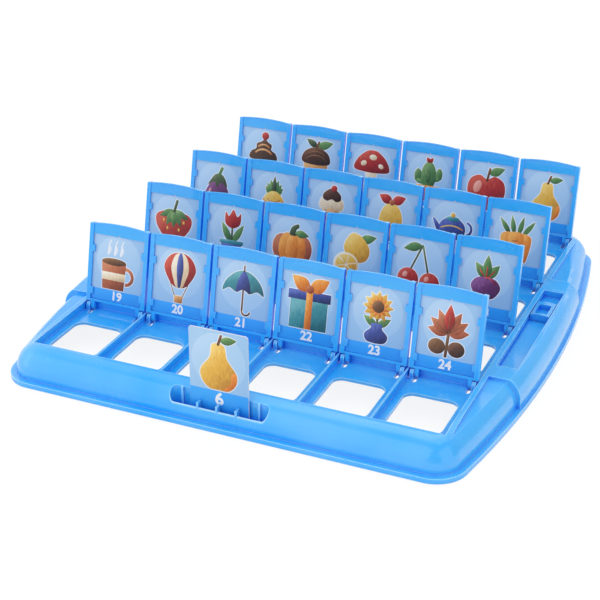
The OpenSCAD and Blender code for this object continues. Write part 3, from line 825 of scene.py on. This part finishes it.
@dataclass
class CardPrint:
    """The printed face of one card: a band with a plain number, and a picture. Lengths are millimetres.

    MARGIN is from the card's edge in to the print, HALO the radii of the pale ground behind the picture
    as shares of its room, CLEARANCE from the band up to that room, RIM the width of the white rim round
    its shapes, WEIGHT how far the figures' outlines go out as a share of their size, TONE the spot of a
    patch whose tone they take, and LIFT from the card to the print and from the print to the number.

    Args:
        name: the start of its pieces' names.
        number: the number on the band.
        body: the body that the card belongs to.
        place: where the card's foot centre is on its front face, in the row frame, in metres.
        face: which kind of card it is.
        width: the card's width.
        height: the card's height.
        band: the height of the band.
        lean: how far the card leans back, in degrees.
        corner: the radius of a loose card's corners.
        room: the most width and height that its picture may take.
        settle_up: the share of the room left over that goes under a low picture.
        figure_size: the size of its number.
        figure_height: from the card's foot to the middle of its number.
    """

    name: str
    number: int
    body: str
    place: Vector
    face: Face = Face.FLIP
    width: float = 30.4
    height: float = 39.2
    band: float = 6.1
    lean: float = 12.0
    corner: float = 1.4
    room: Point = (23.0, 26.5)
    settle_up: float = 0.6
    figure_size: float = 6.4
    figure_height: float = 3.0
    MARGIN = 0.02
    HALO = (0.56, 0.5)
    CLEARANCE = 0.5
    RIM = 0.4
    WEIGHT = 0.035
    TONE = (0.4, 0.6)
    LIFT = 0.03

    def ground(self) -> tuple[Point, ...]:
        """Outline of the card's face, counter-clockwise from its lower left."""
        half, low, high = self.width / 2 - self.MARGIN, self.MARGIN, self.height - self.MARGIN
        if self.face is Face.FLIP:
            return ((-half, low), (half, low), (half, high), (-half, high))
        radius = self.corner
        right, top, reach = half - radius, self.height - radius, radius - self.MARGIN
        spots = []
        for x, y, start in ((-right, radius, 180), (right, radius, 270), (right, top, 0), (-right, top, 90)):
            for k in range(CORNER_STEPS + 1):
                t = radians(start + 90 * k / CORNER_STEPS)
                spots.append((x + reach * cos(t), y + reach * sin(t)))
        return tuple(spots)

    def patches(self) -> list[Patch]:
        """All the shapes of the print, from the bottom up."""
        across, up = self.room
        middle = (self.band + self.height) / 2
        ground = self.ground()
        foot = tuple(spot for spot in ground if spot[1] < self.band)
        shapes = [
            Patch("sky", ground),
            oval("halo", 0, middle, self.HALO[0] * across, self.HALO[1] * up),
            Patch("band", foot + ((foot[-1][0], self.band), (foot[0][0], self.band))),
        ]
        motif = MOTIFS[(self.number - 1) % len(MOTIFS)]
        left, low, right, high = box_of(spot for patch in motif for spot in patch.outline)
        size = min(across / (right - left), up / (high - low))
        rise = self.band + self.CLEARANCE - size * low + self.settle_up * (up - size * (high - low))
        placed = [patch.moved(-size * (left + right) / 2, rise, size) for patch in motif]
        return shapes + [patch.grown("white", self.RIM) for patch in placed] + placed

    def picture(self) -> Object:
        """Builds the picture as one flat mesh in which the topmost shape gives each face its ink.

        Returns:
            The new piece.
        """
        shapes = self.patches()
        spots, rings = [], []
        for shape in shapes:
            rings.append(list(range(len(spots), len(spots) + len(shape.outline))))
            spots += [Vector(spot) for spot in shape.outline]
        # Kind 1 keeps what lies inside a shape, and each face comes with the shapes that own it.
        corners, _, faces, _, _, owners = delaunay_2d_cdt(spots, [], rings, 1, 1e-5, True)
        mesh = bpy.data.meshes.new(f"{self.name}_print")
        mesh.from_pydata([(x * MM, 0.0, y * MM) for x, y in corners], [], faces)
        names = sorted({shape.ink for shape in shapes})
        for name in names:
            mesh.materials.append(INKS[name].material())
        spread = mesh.uv_layers.new(name="Patch")
        boxes = [box_of(shape.outline) for shape in shapes]
        for polygon, owner in zip(mesh.polygons, owners):
            top = max(owner, default=0)
            polygon.material_index = names.index(shapes[top].ink)
            left, low, right, high = boxes[top]
            for loop in polygon.loop_indices:
                x, y = corners[mesh.loops[loop].vertex_index]
                spread.data[loop].uv = ((x - left) / (right - left), (y - low) / (high - low))
        return self.settle(mesh)

    def figures(self) -> Object:
        """Builds the number on the band.

        Returns:
            The new piece.
        """
        curve = bpy.data.curves.new(f"{self.name}_number", "FONT")
        curve.body = str(self.number)
        curve.align_x, curve.align_y = "CENTER", "CENTER"
        curve.size, curve.resolution_u = self.figure_size * MM, 4
        curve.offset = self.WEIGHT * self.figure_size * MM
        writer = link(bpy.data.objects.new("writer", curve))
        bpy.context.view_layer.update()
        mesh = bpy.data.meshes.new_from_object(writer.evaluated_get(bpy.context.evaluated_depsgraph_get()))
        bpy.data.objects.remove(writer)
        mesh.name = f"{self.name}_number"
        mesh.materials.append(INKS["white"].material())
        for entry in mesh.uv_layers.new(name="Patch").data:
            entry.uv = self.TONE
        mesh.transform(Matrix.Rotation(radians(90), 4, "X"))
        mesh.transform(Matrix.Translation((0, -self.LIFT * MM, self.figure_height * MM)))
        return self.settle(mesh)

    def settle(self, mesh: Mesh) -> Object:
        """Makes a piece of a mesh, stands it just in front of the card and lets it ride on the card's body.

        Args:
            mesh: the piece's mesh, which also gives it its name.

        Returns:
            The new piece.
        """
        piece = link(bpy.data.objects.new(mesh.name, mesh))
        upright = Matrix.Rotation(radians(-self.lean), 4, "X")
        front = Matrix.Translation((0, -self.LIFT * MM, 0))
        piece.matrix_world = Matrix.Translation(self.place) @ upright @ front
        bpy.context.view_layer.update()
        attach(piece, self.body)
        LOG.info("%s: %d faces", piece.name, len(mesh.polygons))
        return piece

    def build(self) -> None:
        """Makes the print and its number."""
        self.picture()
        self.figures()


@dataclass
class Tray:
    """The moulded tray, kept as imported and given its finish.

    Args:
        finish: the tray's plastic.
    """

    # Colours: body; painted shade for creases; pale flow tone that is also a painted highlight along edges.
    finish: Plastic = Plastic("tray_blue", (0.014, 0.39, 0.93), (0.002, 0.19, 0.98), (0.42, 0.78, 0.98), 0.0011)

    def dress(self) -> None:
        """Gives the tray its material."""
        dress_node("tray", self.finish)


@dataclass
class Flips:
    """All the flips with their cards.

    Args:
        columns: flips in a row.
        rows: rows of flips.
        lean: how far a raised flip leans back, in degrees.
        card_foot: from the hinge axis up to the card's foot, in millimetres.
        card_front: from there forward to the card's face.
        finish: the flips' plastic.
        board: the cards' stock.
    """

    columns: int = 6
    rows: int = 4
    lean: float = 12.0
    card_foot: float = 4.0
    card_front: float = 0.5
    # Colours: body; painted shade for creases; pale flow tone that is also a painted highlight along edges.
    finish: Plastic = Plastic("flip_blue", (0.014, 0.385, 0.93), (0.002, 0.18, 0.98), (0.18, 0.60, 0.97), 0.0004)
    board: Board = Board()

    def build(self) -> None:
        """Dresses every flip and card and prints the cards, numbered from the back left."""
        hinges = {joint["name"]: joint for joint in frame["joints"]}
        lift = Matrix.Rotation(radians(-self.lean), 4, "X")
        step = lift @ Vector((0, -self.card_front * MM, self.card_foot * MM))
        for row in range(1, self.rows + 1):
            for column in range(1, self.columns + 1):
                spot = f"r{row}c{column}"
                dress_node(f"flip_{spot}", self.finish)
                dress_node(f"card_{spot}", self.board)
                foot = Vector(hinges[f"hinge_{spot}"]["pos_m"]) + step
                number = (self.rows - row) * self.columns + column
                CardPrint(f"card_{spot}", number, f"flip_{spot}_body", foot, lean=self.lean).build()


@dataclass
class LooseCard:
    """The card that stands in the front pocket. Lengths are millimetres.

    Args:
        number: the number that it shows.
        height: the card's height.
        band: the height of its band.
        room: the most width and height that its picture may take.
        figure_size: the size of its number.
        figure_height: from the card's foot to the middle of its number.
        board: the card's stock.
    """

    number: int = 6
    height: float = 44.4
    band: float = 12.9
    room: Point = (25.0, 29.5)
    figure_size: float = 8.8
    figure_height: float = 8.6
    board: Board = Board()

    def build(self) -> None:
        """Dresses the card and prints it."""
        dress_node("loose_card", self.board)
        low, high = (Vector(corner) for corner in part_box("loose_card"))
        CardPrint(
            "loose_card",
            self.number,
            "loose_card_body",
            Vector(((low.x + high.x) / 2, low.y, low.z)),
            Face.LOOSE,
            height=self.height,
            band=self.band,
            lean=0.0,
            room=self.room,
            figure_size=self.figure_size,
            figure_height=self.figure_height,
        ).build()


@dataclass
class ScoreSlider:
    """The slider in the right-hand rest.

    Args:
        finish: the slider's plastic.
    """

    # Colours: body; painted shade for creases; pale flow tone that is also a painted highlight along edges.
    finish: Plastic = Plastic("slider_blue", (0.014, 0.37, 0.92), (0.002, 0.15, 0.94), (0.30, 0.70, 0.97), 0.0006)

    def dress(self) -> None:
        """Gives the slider its material."""
        dress_node("score_slider", self.finish)


def dress_node(name: str, finish: Finish) -> None:
    """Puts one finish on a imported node.

    Args:
        name: the node's name.
        finish: what it is made of.
    """
    node = frame["nodes"][name]
    node.data.materials.clear()
    node.data.materials.append(finish.material())
    LOG.info("%s: %s", name, finish.name)


def link(piece: Object) -> Object:
    """Puts a new object in the scene and gives it back."""
    bpy.context.scene.collection.objects.link(piece)
    return piece


def grey(level: float) -> Colour:
    """A neutral colour."""
    return (level, level, level)


@dataclass(frozen=True)
class Lamp:
    """One soft square lamp that points at the game, at TARGET.

    Args:
        name: the lamp's name.
        place: its position, in metres.
        size: the side of its face, in metres.
        power: its output, in watts.
    """

    name: str
    place: Place
    size: float
    power: float
    TARGET = (0.0, 0.0, 0.02)

    def build(self) -> None:
        """Hangs the lamp."""
        data = bpy.data.lights.new(self.name, "AREA")
        data.shape, data.size, data.energy = "SQUARE", self.size, self.power
        lamp = link(bpy.data.objects.new(self.name, data))
        lamp.location = self.place
        lamp.rotation_euler = (Vector(self.TARGET) - Vector(self.place)).to_track_quat("-Z", "Y").to_euler()
        LOG.info("%s lamp: %.1f W", self.name, self.power)


@dataclass
class Studio:
    """The floor, the lamps, the surroundings and the camera. Lengths are metres.

    FLOOR_GLOW is the floor's own white to the camera and in reflections, FLOOR_DIM how light it is under
    that white, which sets the depth of the shadow, and FLOOR_MATT how light it is to all other light.
    BRIGHT_GAIN is what the surroundings add in reflections at the two ends of BRIGHT_RANGE.

    Args:
        aim: the point that the camera looks at.
        azimuth: the camera's turn round the game, in degrees.
        elevation: the camera's height over the table, in degrees.
        distance: from the aim to the camera.
        lens: the focal length, in millimetres on a 36 mm sensor.
        shift: the lens shift up, as a share of the picture.
        ambient: the strength of the surroundings on matt surfaces.
        bright_side: the direction in which reflections find the surroundings brightest.
        lamps: the lamps.
    """

    aim: Place = (-0.0571, 0.0998, 0.0157)
    azimuth: float = 23.665
    elevation: float = 22.996
    distance: float = 0.8922
    lens: float = 87.84
    shift: float = -0.1586
    ambient: float = 0.76
    bright_side: Place = (-0.75, 0.55, -0.2)
    lamps: tuple[Lamp, ...] = (
        Lamp("key", (-1.0, -1.45, 0.95), 2.4, 16.0),
        Lamp("fill", (1.65, -0.6, 0.8), 1.8, 8.0),
        Lamp("top", (0.1, 0.6, 1.8), 1.6, 7.0),
    )
    CLIP = (0.05, 20.0)
    FLOOR_HALF = 4.0
    FLOOR_DROP = 0.0003
    FLOOR_GLOW = 0.87
    FLOOR_DIM = 0.14
    FLOOR_MATT = 0.8
    BRIGHT_RANGE = (-0.15, 0.4)
    BRIGHT_GAIN = (-0.5, 0.4)

    def camera(self) -> None:
        """Sets up the camera."""
        turn, rise = radians(self.azimuth), radians(self.elevation)
        back = Vector((sin(turn) * cos(rise), -cos(turn) * cos(rise), sin(rise)))
        data = bpy.data.cameras.new("view")
        data.lens, data.shift_y = self.lens, self.shift
        data.clip_start, data.clip_end = self.CLIP
        camera = link(bpy.data.objects.new("view", data))
        camera.location = Vector(self.aim) + back * self.distance
        camera.rotation_euler = (-back).to_track_quat("-Z", "Y").to_euler()
        bpy.context.scene.camera = camera
        LOG.info("camera: %.0f mm lens", self.lens)

    def floor(self) -> None:
        """Lays a plain white floor that keeps a soft shadow."""
        half, low = self.FLOOR_HALF, -self.FLOOR_DROP
        mesh = bpy.data.meshes.new("floor")
        corners = [(-half, -half, low), (half, -half, low), (half, half, low), (-half, half, low)]
        mesh.from_pydata(corners, [], [(0, 1, 2, 3)])
        floor = link(bpy.data.objects.new("floor", mesh))
        material, graph, out = new_material("studio_white")
        path = graph.add("LightPath")
        seen = graph.maths("ADD", path.outputs["Is Camera Ray"], path.outputs["Is Glossy Ray"], clamp=True)
        matt = graph.add("BsdfDiffuse", {"Color": grey(self.FLOOR_MATT)})
        dim = graph.add("BsdfDiffuse", {"Color": grey(self.FLOOR_DIM)})
        glow = graph.add("Emission", {"Color": grey(1.0), "Strength": self.FLOOR_GLOW})
        both = graph.add("AddShader", {0: dim.outputs[0], 1: glow.outputs[0]})
        mixed = graph.add("MixShader", {0: seen, 1: matt.outputs[0], 2: both.outputs[0]})
        graph.feed(out, 0, mixed.outputs[0])
        mesh.materials.append(material)
        LOG.info("floor: %.0f m wide", 2 * half)

    def surroundings(self) -> None:
        """Sets soft white surroundings, which look brighter on one side in reflections."""
        world = bpy.data.worlds.new("surroundings")
        bpy.context.scene.world = world
        world.use_nodes = True
        world.node_tree.nodes.clear()
        graph = Graph(world.node_tree)
        path = graph.add("LightPath")
        way = graph.add("TexCoord").outputs["Generated"]
        bright = graph.add("VectorMath", {0: way, 1: self.bright_side}, operation="DOT_PRODUCT").outputs["Value"]
        extra = graph.ramp(bright, *self.BRIGHT_RANGE, *self.BRIGHT_GAIN)
        mirrored = graph.maths("MULTIPLY", path.outputs["Is Glossy Ray"], extra)
        seen = graph.maths("ADD", path.outputs["Is Camera Ray"], path.outputs["Is Transmission Ray"], clamp=True)
        plain = graph.maths("ADD", graph.maths("MULTIPLY", seen, 1.0 - self.ambient), self.ambient)
        strength = graph.maths("ADD", plain, mirrored)
        sky = graph.add("Background", {"Color": grey(1.0), "Strength": strength})
        graph.add("OutputWorld", {0: sky.outputs[0]})
        LOG.info("surroundings: strength %.2f", self.ambient)

    def build(self) -> None:
        """Builds the whole studio."""
        self.camera()
        self.floor()
        self.surroundings()
        for lamp in self.lamps:
            lamp.build()


def main() -> None:
    """Builds the studio, dresses the solids and prints the cards."""
    logging.basicConfig(level=logging.INFO, format="%(name)s %(message)s")
    bpy.context.scene.view_settings.view_transform = "Standard"
    Studio().build()
    Tray().dress()
    Flips().build()
    LooseCard().build()
    ScoreSlider().dress()


if __name__ == "__main__":
    main()
